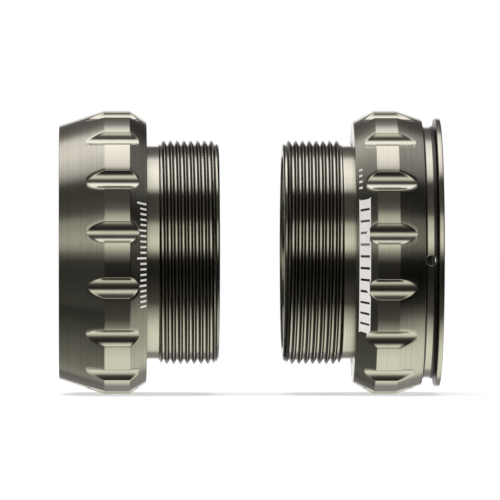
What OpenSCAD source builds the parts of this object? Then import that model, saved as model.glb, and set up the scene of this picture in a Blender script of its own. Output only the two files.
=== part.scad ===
// Outboard bottom bracket: two separate threaded cups, each with a sealed cartridge bearing.
// The axle's axis is X. The left cup lies towards -X, the right cup towards +X, and +Z is up.
// Each cup is drawn along its own axis, from its outer end at 0 inwards to its threaded end.

/* [Spacing] */
// Distance between the shoulder faces of the two loose cups
shoulder_gap = 32; // [25:0.5:68]

/* [Cartridge bearings] */
// Bore of each bearing, which the crank axle fills
bearing_id = 25; // [21:0.5:30]
// Outside diameter of each bearing
bearing_od = 37; // [31:0.5:45]
// Width of each bearing
bearing_w = 6; // [5:0.1:8]
// Ball diameter as a share of the bearing's width or ring section, whichever is smaller
ball_share = 0.529; // [0.5:0.001:0.54]
// Height of the raceway shoulders from the pitch circle, as a share of the ball diameter
land_share = 0.35; // [0.3:0.01:0.4]
// Turn that the balls would cover if they touched, which sets how many go in
ball_fill_angle = 195; // [150:5:210]
// Running clearance between a ball and its raceways
race_clearance = 0.03; // [0.01:0.01:0.05]
// Chamfer on the edges of the bearing rings
ring_chamfer = 0.25; // [0.1:0.05:0.4]

/* [Ball cages] */
// Thickness of the pressed steel cage strip
cage_t = 0.3; // [0.2:0.05:0.35]
// Clearance between a ball and its cage pocket
pocket_clearance = 0.05; // [0.03:0.01:0.08]
// Clearance between the cage and the raceway shoulders
cage_side_clearance = 0.35; // [0.25:0.05:0.4]
// Rivet head diameter as a share of the flat between two pockets
rivet_share = 0.5; // [0.4:0.05:0.6]
// Thickness of a rivet head
rivet_head_t = 0.2; // [0.1:0.05:0.3]

/* [Bearing seals] */
// Thickness of a bearing's rubber seal
seal_t = 0.6; // [0.5:0.05:0.6]
// Depth of a seal below the bearing's face
seal_recess = 0.1; // [0.05:0.05:0.15]
// Depth of the seal's seat into the outer ring
seal_bite = 0.3; // [0.2:0.05:0.4]
// Clearance between a seal and its neighbours
seal_clearance = 0.1; // [0.05:0.01:0.15]

/* [Dust seals] */
// Thickness of a dust seal at its hub
dust_t = 1.6; // [1.2:0.1:2]
// Thickness of a dust seal's outer flange
dust_flange_t = 0.7; // [0.5:0.05:0.9]
// Distance from the bearing seat's wall to the dust seal's edge
dust_edge_gap = 1.3; // [1:0.1:2]
// Clearance of the dust seal over the bearing's rings
dust_clearance = 0.1; // [0.05:0.05:0.2]
// Clearance of the dust seal's bore over the axle
dust_bore_clearance = 0.3; // [0.2:0.05:0.4]

/* [Cups] */
// Radial clearance between a bearing and its seat in the cup
seat_clearance = 0.02; // [0.01:0.01:0.05]
// Wall between the bearing seat and the notched crown
crown_wall = 3.5; // [3:0.1:4.5]
// Thinnest wall of the threaded sleeve
sleeve_wall = 1.75; // [1.4:0.05:2.2]
// Step that the bearing seat's floor makes towards the sleeve
floor_step = 3.5; // [3:0.1:4.5]
// Chamfer at the mouth of each cup and at the sleeve's end
cup_chamfer = 0.35; // [0.2:0.05:0.5]
// Rise of the shoulder face above the thread
shoulder_step = 2.9; // [2:0.05:4]
// Drop from the crown to the shoulder face
back_drop = 1.7; // [1.2:0.05:2]
// Depth of the relief where the shoulder face meets the neck
relief_depth = 0.1; // [0.05:0.05:0.2]
// Width of the relief outside the thread's crests
relief_w = 0.1; // [0.05:0.05:0.3]

/* [Thread] */
// Crest diameter of the outer thread
thread_d = 34.8; // [29:0.1:42]
// Number of threads in an inch
threads_per_inch = 24; // [20:1:28]
// Depth of the thread
thread_h = 0.65; // [0.5:0.05:0.7]
// Width of a thread's crest
crest_w = 0.13; // [0.1:0.01:0.2]
// Depth of the plain neck below the thread's crest
neck_depth = 0.82; // [0.7:0.02:1]
// Length of the bevel that leads into the thread
lead_l = 0.6; // [0.4:0.1:1]

/* [Tool notches] */
// Number of notches round each crown
notch_count = 16; // [12:1:18]
// Depth of the notches below the crown
notch_depth = 0.9; // [0.8:0.05:1.2]
// Radius of the round-bottomed notch
notch_r = 2; // [1.5:0.01:2.2]
// Angle of the first left notch above the front line
left_notch_angle = 8.1; // [0:0.1:22.5]
// Angle of the first right notch above the front line
right_notch_angle = 7.4; // [0:0.1:22.5]

/* [Left cup] */
// Wall at the left cup's mouth
left_rim_wall = 1.2; // [1:0.05:1.6]
// Length of the left cup's outer cone
left_cone_l = 7.02; // [5:0.02:9]
// Length of the left crown
left_crown_l = 3.9; // [2.5:0.05:5]
// Length of the left cup's inner cone
left_back_l = 2.62; // [2:0.02:4]
// Length of the left cup's plain neck
left_neck_l = 1.88; // [1.5:0.02:2.5]
// Length of the left cup's thread
left_thread_l = 9.3; // [8:0.1:12]
// Depth of the left bearing inside the mouth
left_recess = 2.4; // [2:0.1:3]

/* [Wave washer] */
// Free height of the wave washer
washer_h = 1.2; // [1:0.05:1.5]
// Thickness of the wave washer's strip
washer_t = 0.3; // [0.2:0.05:0.4]
// Number of waves round the washer
washer_waves = 3; // [3:1:5]
// Clearance round the washer and at its wave tops
washer_clearance = 0.25; // [0.15:0.05:0.35]

/* [Right cup] */
// Length of the right cup's lip, outside the clip groove
right_lip_l = 0.85; // [0.8:0.02:1.2]
// Width of the clip groove
groove_w = 2; // [1.8:0.01:2.2]
// Wall under the clip groove
groove_wall = 1.02; // [0.9:0.02:1.3]
// Height of the lip above the groove's floor
lip_h = 1.36; // [1.3:0.02:1.6]
// Height of the outer cone's end above the groove's floor
cone_end_h = 1.11; // [0.8:0.01:1.4]
// Radius in the groove's corner on the side of the lip
groove_fillet = 0.75; // [0.5:0.05:0.8]
// Radius in the groove's corner on the side of the cone
groove_corner = 0.3; // [0.2:0.05:0.4]
// Radius on the edges of the lip
lip_round = 0.2; // [0.2:0.05:0.4]
// Length of the right cup's outer cone
right_cone_l = 3.98; // [3:0.02:5]
// Length of the right crown
right_crown_l = 3.39; // [2.5:0.01:5]
// Length of the right cup's inner cone
right_back_l = 3.26; // [2:0.02:4]
// Length of the right cup's plain neck
right_neck_l = 1.71; // [1.5:0.01:2.5]
// Length of the right cup's thread
right_thread_l = 9.19; // [8:0.01:12]
// Depth of the right bearing inside the mouth
right_recess = 2.9; // [2.85:0.05:3.2]
// Diameter of the holes for the retaining clip's ends
clip_hole_d = 1.5; // [1.2:0.1:1.5]
// Distance of the clip holes from the lip's end
clip_hole_x = 2.05; // [1.95:0.05:2.1]
// Bevel round each clip hole
clip_hole_bevel = 0.2; // [0.1:0.05:0.2]
// Angle of the front clip hole above the front line
clip_hole_angle = -3.6; // [-20:0.1:20]
// Angle between the two clip holes
clip_hole_spread = 120; // [100:5:180]

/* [Hidden] */
$fn = 96;

inch = 25.4;
margin = 1; // how far a cutter runs past what it cuts
arc_steps = 5;

// Radii that both cups share
bearing_r = bearing_od / 2;
bore_r = bearing_id / 2;
seat_r = bearing_r + seat_clearance;
crest_r = thread_d / 2;
root_r = crest_r - thread_h;
neck_r = crest_r - neck_depth;
shoulder_r = crest_r + shoulder_step;
crown_r = max(bearing_r + crown_wall, shoulder_r + back_drop);
sleeve_r = min(root_r - sleeve_wall, bearing_r - floor_step);
notch_axis_r = crown_r - notch_depth + notch_r;

// The thread's form along the axis
pitch = inch / threads_per_inch;
flank_w = thread_h * tan(30);

// Lengths and places along the axle
left_flange_l = left_cone_l + left_crown_l + left_back_l;
right_flange_l = right_lip_l + groove_w + right_cone_l + right_crown_l + right_back_l;
overall_l = left_flange_l + shoulder_gap + right_flange_l;
left_end_x = -overall_l / 2;
right_end_x = overall_l / 2;
left_seat_l = left_recess + bearing_w + washer_h;
right_seat_l = right_recess + bearing_w;

// The left cup's outline
left_rim_r = bearing_r + left_rim_wall;

// The right cup's outline
groove_floor_r = seat_r + groove_wall;
lip_r = groove_floor_r + lip_h;
cone_end_r = groove_floor_r + cone_end_h;
groove_end = right_lip_l + groove_w;

// The inside of a bearing
pitch_r = (bearing_r + bore_r) / 2;
ball_d = ball_share * min(bearing_w, bearing_r - bore_r);
ball_r = ball_d / 2;
ball_count = floor(ball_fill_angle / (2 * asin(ball_r / pitch_r)) + 1);
inner_land_r = pitch_r - land_share * ball_d;
outer_land_r = pitch_r + land_share * ball_d;
seal_seat_r = outer_land_r + seal_bite;
seal_depth = seal_recess + seal_t;

// The cage strip and its rivets
pocket_r = ball_r + pocket_clearance;
cage_crown_r = pocket_r + cage_t;
cage_in_r = inner_land_r + cage_side_clearance;
cage_out_r = outer_land_r - cage_side_clearance;
flat_w = 2 * pitch_r * sin(180 / ball_count) - 2 * cage_crown_r;
rivet_head_r = rivet_share * flat_w / 2;
rivet_r = rivet_head_r / 2;
rivet_clearance = 0.02;

// Puts a piece drawn along its own axis into the left or the right cup.
module on_left(depth = 0) {
    translate([left_end_x + depth, 0, 0]) rotate([0, 90, 0]) children();
}
module on_right(depth = 0) {
    translate([right_end_x - depth, 0, 0]) rotate([0, -90, 0]) children();
}
module in_left_bearing() {
    on_left(left_recess + bearing_w / 2) children();
}
module in_right_bearing() {
    on_right(right_recess + bearing_w / 2) children();
}

// Turns from an angle above the front line to the angle in a cup's own frame.
function left_turn(angle) = -90 - angle;
function right_turn(angle) = angle - 90;

// Points of an arc round (r, s), from one angle to another.
function arc(r, s, radius, from, to) = [
    for (i = [0 : arc_steps])
        let (a = from + (to - from) * i / arc_steps)
            [r + radius * cos(a), s + radius * sin(a)]
];

// Outline of the thread from its first crest at start, as rings that stand in for the helix.
function thread_count(length) = floor((length - flank_w - crest_w - lead_l) / pitch);
function thread_points(start, length) = [
    for (i = [0 : thread_count(length)])
        each [
            [root_r, start + i * pitch],
            [crest_r, start + flank_w + i * pitch],
            [crest_r, start + flank_w + crest_w + i * pitch],
            [root_r, start + 2 * flank_w + crest_w + i * pitch]
        ]
];

// Outline of the neck and the threaded sleeve, then back out through the bore to the mouth.
function sleeve_points(flange_l, neck_l, thread_l, seat_l) = concat(
    [
        [shoulder_r, flange_l],
        [crest_r + relief_w, flange_l],
        [crest_r + relief_w, flange_l - relief_depth],
        [neck_r, flange_l - relief_depth],
        [neck_r, flange_l + neck_l]
    ],
    thread_points(flange_l + neck_l, thread_l),
    [
        [root_r, flange_l + neck_l + thread_l],
        [sleeve_r + cup_chamfer, flange_l + neck_l + thread_l],
        [sleeve_r, flange_l + neck_l + thread_l - cup_chamfer],
        [sleeve_r, seat_l],
        [seat_r, seat_l],
        [seat_r, cup_chamfer],
        [seat_r + cup_chamfer, 0]
    ]
);

// Round-bottomed notches for the tool, cut parallel to the axis between two depths.
module notch_cutters(from, to, first_angle) {
    for (i = [0 : notch_count - 1])
        rotate([0, 0, first_angle + 360 * i / notch_count])
            translate([notch_axis_r, 0, from])
                cylinder(h = to - from, r = notch_r);
}

module left_cup() {
    color("#8a8378") on_left() difference() {
        rotate_extrude() polygon(concat(
            [
                [left_rim_r - cup_chamfer / 2, 0],
                [left_rim_r, cup_chamfer / 2],
                [crown_r, left_cone_l],
                [crown_r, left_cone_l + left_crown_l]
            ],
            sleeve_points(left_flange_l, left_neck_l, left_thread_l, left_seat_l)
        ));
        notch_cutters(-margin, left_flange_l + margin, left_turn(left_notch_angle));
    }
}

// A wavy spring ring between the left bearing and the floor of its seat.
module left_wave_washer() {
    ring_steps = 24 * washer_waves;
    in_r = outer_land_r + washer_clearance;
    out_r = seat_r - washer_clearance;
    touch_gap = 0.02;
    swing = (washer_h - washer_t) / 2 - touch_gap;
    function wave(i) = swing * cos(washer_waves * 360 * i / ring_steps);
    function corner(i, r, z) = [r * cos(360 * i / ring_steps), r * sin(360 * i / ring_steps), z + wave(i)];
    points = [
        for (i = [0 : ring_steps - 1])
            each [
                corner(i, in_r, -washer_t / 2),
                corner(i, out_r, -washer_t / 2),
                corner(i, out_r, washer_t / 2),
                corner(i, in_r, washer_t / 2)
            ]
    ];
    faces = [
        for (i = [0 : ring_steps - 1])
            for (k = [0 : 3])
                let (
                    a = 4 * i + k,
                    b = 4 * i + (k + 1) % 4,
                    c = 4 * ((i + 1) % ring_steps) + (k + 1) % 4,
                    d = 4 * ((i + 1) % ring_steps) + k
                )
                    each [[a, b, c], [a, c, d]]
    ];
    color("#b9bcc0") on_left(left_seat_l - washer_h / 2) polyhedron(points, faces);
}

module right_cup() {
    cone_top = groove_end + right_cone_l;
    color("#8a8378") on_right() difference() {
        rotate_extrude() polygon(concat(
            arc(lip_r - lip_round, lip_round, lip_round, -90, 0),
            arc(lip_r - lip_round, right_lip_l - lip_round, lip_round, 0, 90),
            arc(groove_floor_r + groove_fillet, right_lip_l + groove_fillet, groove_fillet, -90, -180),
            arc(groove_floor_r + groove_corner, groove_end - groove_corner, groove_corner, 180, 90),
            [[cone_end_r, groove_end], [crown_r, cone_top], [crown_r, cone_top + right_crown_l]],
            sleeve_points(right_flange_l, right_neck_l, right_thread_l, right_seat_l)
        ));
        notch_cutters(right_lip_l + groove_w / 2, right_flange_l + margin, right_turn(right_notch_angle));
        for (angle = [clip_hole_angle, clip_hole_angle + clip_hole_spread])
            rotate([0, 0, right_turn(angle)]) translate([0, 0, clip_hole_x]) rotate([0, 90, 0]) {
                translate([0, 0, seat_r - margin])
                    cylinder(h = groove_wall + 2 * margin, d = clip_hole_d);
                translate([0, 0, groove_floor_r - clip_hole_bevel])
                    cylinder(
                        h = 2 * clip_hole_bevel,
                        d1 = clip_hole_d,
                        d2 = clip_hole_d + 4 * clip_hole_bevel
                    );
            }
    }
}

// A bearing lies centred on 0, with its outboard face towards -Z.
module raceway() {
    rotate_extrude() translate([pitch_r, 0]) circle(r = ball_r + race_clearance);
}

module outer_ring() {
    half_w = bearing_w / 2;
    color("#c9ccd0") difference() {
        rotate_extrude() polygon([
            [seal_seat_r, -half_w],
            [bearing_r - ring_chamfer, -half_w],
            [bearing_r, -half_w + ring_chamfer],
            [bearing_r, half_w - ring_chamfer],
            [bearing_r - ring_chamfer, half_w],
            [seal_seat_r, half_w],
            [seal_seat_r, half_w - seal_depth],
            [outer_land_r, half_w - seal_depth],
            [outer_land_r, -half_w + seal_depth],
            [seal_seat_r, -half_w + seal_depth]
        ]);
        raceway();
    }
}

module inner_ring() {
    half_w = bearing_w / 2;
    color("#c9ccd0") difference() {
        rotate_extrude() polygon([
            [bore_r + ring_chamfer, -half_w],
            [inner_land_r, -half_w],
            [inner_land_r, half_w],
            [bore_r + ring_chamfer, half_w],
            [bore_r, half_w - ring_chamfer],
            [bore_r, -half_w + ring_chamfer]
        ]);
        raceway();
    }
}

module at_each_ball() {
    for (i = [0 : ball_count - 1])
        rotate([0, 0, 360 * i / ball_count]) translate([pitch_r, 0, 0]) children();
}

module at_each_rivet() {
    for (i = [0 : ball_count - 1])
        rotate([0, 0, 360 * (i + 0.5) / ball_count]) translate([pitch_r, 0, 0]) children();
}

module balls() {
    color("#e4e6e8") at_each_ball() sphere(r = ball_r);
}

// One half of the cage, on the +Z side of the balls: flats with a rounded pocket over each ball.
module cage_half() {
    color("#a8a28c") difference() {
        intersection() {
            rotate_extrude() translate([cage_in_r, 0]) square([cage_out_r - cage_in_r, cage_crown_r]);
            union() {
                cylinder(h = cage_t, r = cage_out_r + margin);
                at_each_ball() sphere(r = cage_crown_r);
            }
        }
        at_each_ball() sphere(r = pocket_r);
        at_each_rivet() translate([0, 0, -margin]) cylinder(h = cage_t + 2 * margin, r = rivet_r + rivet_clearance);
    }
}

module cage_rivets() {
    top = cage_t + rivet_head_t;
    color("#8f8a76") at_each_rivet() rotate_extrude() polygon([
        [0, -top],
        [rivet_r, -top],
        [rivet_head_r, -cage_t],
        [rivet_r, -cage_t],
        [rivet_r, cage_t],
        [rivet_head_r, cage_t],
        [rivet_r, top],
        [0, top]
    ]);
}

// A rubber seal on the +Z side of the balls, held in the outer ring and clear of the inner ring.
module bearing_seal() {
    top = bearing_w / 2 - seal_recess;
    in_r = inner_land_r + seal_clearance;
    lip_w = (seal_seat_r - in_r) / 4;
    color("#23211f") rotate_extrude() polygon([
        [in_r, top - seal_t],
        [outer_land_r, top - seal_t],
        [seal_seat_r, top - seal_t],
        [seal_seat_r, top],
        [seal_seat_r - lip_w, top],
        [seal_seat_r - lip_w, top - seal_t / 3],
        [in_r + lip_w, top - seal_t / 3],
        [in_r + lip_w, top],
        [in_r, top]
    ]);
}

// A rubber dust seal on the outboard side of the bearing: its hub bears on the inner ring, and its
// flange reaches out over the bearing.
module dust_seal() {
    face = -bearing_w / 2;
    in_r = bore_r + dust_bore_clearance;
    hub_r = inner_land_r - dust_clearance;
    edge_r = seat_r - dust_edge_gap;
    color("#2a2826") rotate_extrude() polygon([
        [in_r, face],
        [in_r, face - dust_t],
        [edge_r - dust_flange_t, face - dust_t],
        [edge_r, face - dust_t + dust_flange_t],
        [edge_r, face - 2 * dust_clearance],
        [edge_r - dust_flange_t, face - 2 * dust_clearance],
        [edge_r - dust_flange_t, face - dust_t + dust_flange_t],
        [hub_r, face - dust_t + dust_flange_t],
        [hub_r, face]
    ]);
}

left_cup();
left_wave_washer();
in_left_bearing() outer_ring();  // left_outer_ring
in_left_bearing() inner_ring();  // left_inner_ring
in_left_bearing() balls();  // left_balls
in_left_bearing() rotate([180, 0, 0]) cage_half();  // left_cage_outboard
in_left_bearing() cage_half();  // left_cage_inboard
in_left_bearing() cage_rivets();  // left_cage_rivets
in_left_bearing() rotate([180, 0, 0]) bearing_seal();  // left_seal_outboard
in_left_bearing() bearing_seal();  // left_seal_inboard
in_left_bearing() dust_seal();  // left_dust_seal
right_cup();
in_right_bearing() outer_ring();  // right_outer_ring
in_right_bearing() inner_ring();  // right_inner_ring
in_right_bearing() balls();  // right_balls
in_right_bearing() rotate([180, 0, 0]) cage_half();  // right_cage_outboard
in_right_bearing() cage_half();  // right_cage_inboard
in_right_bearing() cage_rivets();  // right_cage_rivets
in_right_bearing() rotate([180, 0, 0]) bearing_seal();  // right_seal_outboard
in_right_bearing() bearing_seal();  // right_seal_inboard
in_right_bearing() dust_seal();  // right_dust_seal
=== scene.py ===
import math

import bmesh
import bpy
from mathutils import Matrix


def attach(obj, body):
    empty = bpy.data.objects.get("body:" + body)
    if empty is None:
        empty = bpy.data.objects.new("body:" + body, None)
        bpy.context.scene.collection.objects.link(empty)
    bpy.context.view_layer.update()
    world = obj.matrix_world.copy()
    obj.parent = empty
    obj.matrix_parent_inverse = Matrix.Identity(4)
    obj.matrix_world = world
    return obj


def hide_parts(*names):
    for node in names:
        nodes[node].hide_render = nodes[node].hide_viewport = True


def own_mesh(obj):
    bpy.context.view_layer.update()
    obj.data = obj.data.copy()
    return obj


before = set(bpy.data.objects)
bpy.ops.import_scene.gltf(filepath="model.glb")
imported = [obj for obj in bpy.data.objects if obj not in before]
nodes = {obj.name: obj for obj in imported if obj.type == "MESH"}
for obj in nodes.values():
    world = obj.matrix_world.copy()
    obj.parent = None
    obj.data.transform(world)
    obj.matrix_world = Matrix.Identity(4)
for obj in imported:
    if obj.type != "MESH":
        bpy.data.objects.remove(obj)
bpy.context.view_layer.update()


# Left cup. One piece of aluminium bar, turned to a notched collar and a threaded sleeve, then
# anodised a warm grey. It screws into the frame's shell with a right-hand thread, and holds the left
# bearing in its mouth.
MM = 0.001
CUP_COLUMNS = 180
LEFT_END_X = -29.51
CROWN_R = 22.0
SHOULDER_R = 20.3
RELIEF_R = 17.5
RELIEF_DEPTH = 0.1
SEAT_R = 18.52
SLEEVE_R = 15.0
MOUTH_CHAMFER = 0.35
NECK_R = 16.58
THREAD_CREST_R = 17.4
THREAD_ROOT_R = 16.78
THREAD_PITCH = 25.4 / 24
NOTCH_COUNT = 16
NOTCH_AXIS_R = 23.1
NOTCH_R = 2.0
NOTCH_FLOOR_R = NOTCH_AXIS_R - NOTCH_R
BROKEN_EDGE = 0.08


def left_place(s, r, turn):
    """A point of the left cup: s in from its mouth, turn up from the front line."""
    return ((LEFT_END_X + s) * MM, -r * math.cos(turn) * MM, r * math.sin(turn) * MM)


def outline(corners, steps=4):
    """Points (s, r) through corners (s, r, corner radius), each corner rounded."""
    points = []
    for i, (s, r, radius) in enumerate(corners):
        if radius <= 0 or i in (0, len(corners) - 1):
            points.append((s, r))
            continue
        before, after = corners[i - 1], corners[i + 1]
        to_before = (before[0] - s, before[1] - r)
        to_after = (after[0] - s, after[1] - r)
        len_before, len_after = math.hypot(*to_before), math.hypot(*to_after)
        dot = (to_before[0] * to_after[0] + to_before[1] * to_after[1]) / (len_before * len_after)
        bend = math.acos(max(-1.0, min(1.0, dot)))
        reach = min(radius / math.tan(bend / 2), 0.56 * len_before, 0.56 * len_after)
        a = (s + to_before[0] / len_before * reach, r + to_before[1] / len_before * reach)
        b = (s + to_after[0] / len_after * reach, r + to_after[1] / len_after * reach)
        for k in range(steps + 1):
            t = k / steps
            w0, w1, w2 = (1 - t) ** 2, 2 * t * (1 - t), t * t
            points.append((w0 * a[0] + w1 * s + w2 * b[0], w0 * a[1] + w1 * r + w2 * b[1]))
    return points


def plain_columns(r, start):
    """An even circle of (turn, radius, milled)."""
    return [(start + 2 * math.pi * j / CUP_COLUMNS, r, False) for j in range(CUP_COLUMNS)]


def notched_columns(r, start):
    """A circle of radius r with the tool notches in it, as (turn, radius, milled)."""
    cos_edge = (NOTCH_AXIS_R**2 + NOTCH_R**2 - r**2) / (2 * NOTCH_AXIS_R * NOTCH_R)
    edge = math.acos(max(-1.0, min(1.0, cos_edge)))
    broken = min(BROKEN_EDGE, 0.3 * edge * NOTCH_R)
    sector = math.pi / NOTCH_COUNT
    side = []
    for psi in (0.0, 0.25 * edge, 0.5 * edge, 0.75 * edge, edge - broken / NOTCH_R, edge):
        along = NOTCH_AXIS_R - NOTCH_R * math.cos(psi)
        across = NOTCH_R * math.sin(psi)
        dip = 0.3 * broken if psi == edge else 0.0
        side.append((math.atan2(across, along), math.hypot(along, across) - dip, True))
    outer = side[-1][0] + broken / r
    side.append((outer, r, False))
    for share in (0.2, 0.4, 0.6, 0.8):
        side.append((outer + (sector - outer) * share, r, False))
    columns = []
    for k in range(NOTCH_COUNT):
        centre = start + sector + 2 * sector * k
        columns.append((centre - sector, r, False))
        columns += [(centre - turn, radius, milled) for turn, radius, milled in reversed(side[1:])]
        columns += [(centre + turn, radius, milled) for turn, radius, milled in side]
    return columns


def add_ring(mesh, place, s, columns):
    """The points of one circle of the skin, s in from the mouth."""
    return [mesh.verts.new(place(s, r, turn)) for turn, r, milled in columns]


def join_rings(mesh, first, first_columns, second, second_columns):
    """Faces between two circles, which may have different numbers of columns."""
    if len(first) == len(second):
        count = len(first)
        for j in range(count):
            k = (j + 1) % count
            face = mesh.faces.new((first[j], first[k], second[k], second[j]))
            milled = first_columns[j][2] and first_columns[k][2]
            face.material_index = 1 if milled and second_columns[j][2] and second_columns[k][2] else 0
        return
    i = j = 0
    a_turns = [c[0] for c in first_columns] + [first_columns[0][0] + 2 * math.pi]
    b_turns = [c[0] for c in second_columns] + [second_columns[0][0] + 2 * math.pi]
    while i < len(first) or j < len(second):
        a, b = first[i % len(first)], second[j % len(second)]
        if j >= len(second) or (i < len(first) and a_turns[i + 1] <= b_turns[j + 1]):
            mesh.faces.new((a, first[(i + 1) % len(first)], b))
            i += 1
        else:
            mesh.faces.new((a, second[(j + 1) % len(second)], b))
            j += 1


def notch_radii():
    """Radii on a cone at which a notch's edge is drawn, from its tip to the crown."""
    edges = (0.07, 0.13, 0.2, 0.28, 0.36, 0.45, 0.55, 0.65, 0.75, 0.85, 0.95)
    mean = NOTCH_AXIS_R**2 + NOTCH_R**2
    return [math.sqrt(mean - 2 * NOTCH_AXIS_R * NOTCH_R * math.cos(e)) for e in edges]


def with_notch_rows(points):
    """Adds the rows at which the notches run out of the cones to an outline."""
    rows = [points[0]]
    for (s0, r0), (s1, r1) in zip(points, points[1:]):
        if abs(s1 - s0) > 0.5 and abs(r1 - r0) > 0.2:
            radii = [NOTCH_FLOOR_R - 0.04] + notch_radii()
            shares = sorted((r - r0) / (r1 - r0) for r in radii if min(r0, r1) < r < max(r0, r1))
            rows += [(s0 + (s1 - s0) * t, r0 + (r1 - r0) * t) for t in shares]
        rows.append((s1, r1))
    return rows


def thread_rows():
    """One pitch of the thread's form as (distance, radius): root, flank, crest and flank."""
    return [
        (0.0, THREAD_ROOT_R + 0.02), (0.04, THREAD_ROOT_R), (0.16, THREAD_ROOT_R),
        (0.28, THREAD_ROOT_R), (0.32, THREAD_ROOT_R + 0.02),
        (0.465, (THREAD_ROOT_R + THREAD_CREST_R) / 2),
        (0.60, THREAD_CREST_R - 0.03), (0.63, THREAD_CREST_R),
        (0.75, THREAD_CREST_R), (0.78, THREAD_CREST_R - 0.03),
        (0.92, (THREAD_ROOT_R + THREAD_CREST_R) / 2)
    ]


# Which of those rows begin a flank, and how steeply the thread runs in and out of the neck's radius.
FLANKS = (4, 5, 9, 10)
RUN_IN_SLOPE = 1.7
RUN_OUT_SLOPE = 0.9


def add_thread(mesh, place, first_turn, start, end, phase):
    """The helical thread between s = start and end, as a sheared grid."""
    form = thread_rows()
    turns = math.ceil((end - start) / THREAD_PITCH) + 2
    offsets = [(k - 1) * THREAD_PITCH + d for k in range(turns) for d, r in form]
    radii = [r for k in range(turns) for d, r in form]
    grid = []
    for j in range(CUP_COLUMNS):
        turn = first_turn + 2 * math.pi * j / CUP_COLUMNS
        share = (phase - j / CUP_COLUMNS) % 1.0
        column = []
        for offset, radius in zip(offsets, radii):
            s = start + offset + share * THREAD_PITCH
            s = min(max(s, start), end)
            r = min(radius, NECK_R + (s - start) * RUN_IN_SLOPE, NECK_R + (end - s) * RUN_OUT_SLOPE)
            if s <= start:
                r = NECK_R
            column.append(mesh.verts.new(place(s, r, turn)))
        grid.append((share, column))
    per_turn = len(form)
    last = len(offsets) - 1
    for j in range(CUP_COLUMNS):
        share, column = grid[j]
        next_share, next_column = grid[(j + 1) % CUP_COLUMNS]
        shift = 0
        if next_share - share > 0.5:
            shift = -per_turn
        if next_share - share < -0.5:
            shift = per_turn
        for i in range(last):
            a, b = i, i + 1
            c, d = min(max(i + 1 + shift, 0), last), min(max(i + shift, 0), last)
            corners = [column[a], column[b], next_column[c], next_column[d]]
            if len(set(corners)) < 3:
                continue
            face = mesh.faces.new([v for n, v in enumerate(corners) if v not in corners[:n]])
            # The flanks take the dark metal, whose colour is painted shade for the thread's valleys.
            face.material_index = 2 if i % per_turn in FLANKS else 0


def finish_mesh(mesh, name, materials, body, sharp_angle=50):
    """Makes a piece of a bmesh: welds, turns its faces outwards and smooths it."""
    bmesh.ops.remove_doubles(mesh, verts=mesh.verts, dist=2e-7)
    bmesh.ops.dissolve_degenerate(mesh, edges=mesh.edges, dist=1e-8)
    bmesh.ops.recalc_face_normals(mesh, faces=mesh.faces)
    for face in mesh.faces:
        face.smooth = True
    for edge in mesh.edges:
        if len(edge.link_faces) == 2 and edge.calc_face_angle(0) > math.radians(sharp_angle):
            edge.smooth = False
    data = bpy.data.meshes.new(name)
    mesh.to_mesh(data)
    mesh.free()
    for material in materials:
        data.materials.append(material)
    piece = bpy.data.objects.new(name, data)
    bpy.context.collection.objects.link(piece)
    weighted = piece.modifiers.new("face_weighted_normals", "WEIGHTED_NORMAL")
    weighted.keep_sharp = True
    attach(piece, body)
    return piece


def add_strip(mesh, place, rows, start, notched):
    """A turned strip through the rows, with notches where notched says so."""
    rings = []
    for s, r in rows:
        if notched and r > NOTCH_FLOOR_R + 0.003:
            columns = notched_columns(r, start)
        else:
            columns = plain_columns(r, start)
        rings.append((add_ring(mesh, place, s, columns), columns))
    for (first, first_columns), (second, second_columns) in zip(rings, rings[1:]):
        join_rings(mesh, first, first_columns, second, second_columns)


def linear(hex_colour):
    """A linear colour from sRGB hex."""
    channels = [int(hex_colour[i:i + 2], 16) / 255 for i in (1, 3, 5)]
    return [c / 12.92 if c <= 0.04045 else ((c + 0.055) / 1.055) ** 2.4 for c in channels] + [1.0]


def add_node(tree, kind, settings=None, inputs=None, stops=()):
    """Adds a node. An input is a value, a node or its output; stops are a ramp's (place, colour)."""
    node = tree.nodes.new(kind)
    for key, value in (settings or {}).items():
        setattr(node, key, value)
    for k, (place, colour) in enumerate(stops):
        stop = node.color_ramp.elements[k] if k < 2 else node.color_ramp.elements.new(place)
        stop.position = place
        stop.color = colour
    for key, value in (inputs or {}).items():
        if isinstance(value, bpy.types.Node):
            value = value.outputs[0]
        if isinstance(value, bpy.types.NodeSocket):
            tree.links.new(value, node.inputs[key])
        else:
            node.inputs[key].default_value = value
    return node


def new_material(name):
    """An empty material with its tree and its output."""
    material = bpy.data.materials.new(name)
    material.use_nodes = True
    material.node_tree.nodes.clear()
    output = add_node(material.node_tree, "ShaderNodeOutputMaterial")
    return material, material.node_tree, output


def ring_places(tree, position):
    """Depth along and radius from the axle, over which a pattern falls into rings."""
    parts = add_node(tree, "ShaderNodeSeparateXYZ", inputs={0: position}).outputs
    across = add_node(tree, "ShaderNodeCombineXYZ", inputs={"Y": parts["Y"], "Z": parts["Z"]})
    radius = add_node(tree, "ShaderNodeVectorMath", {"operation": "LENGTH"}, {0: across})
    return add_node(
        tree, "ShaderNodeCombineXYZ", inputs={"X": parts["X"], "Y": radius.outputs["Value"]}
    )


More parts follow.
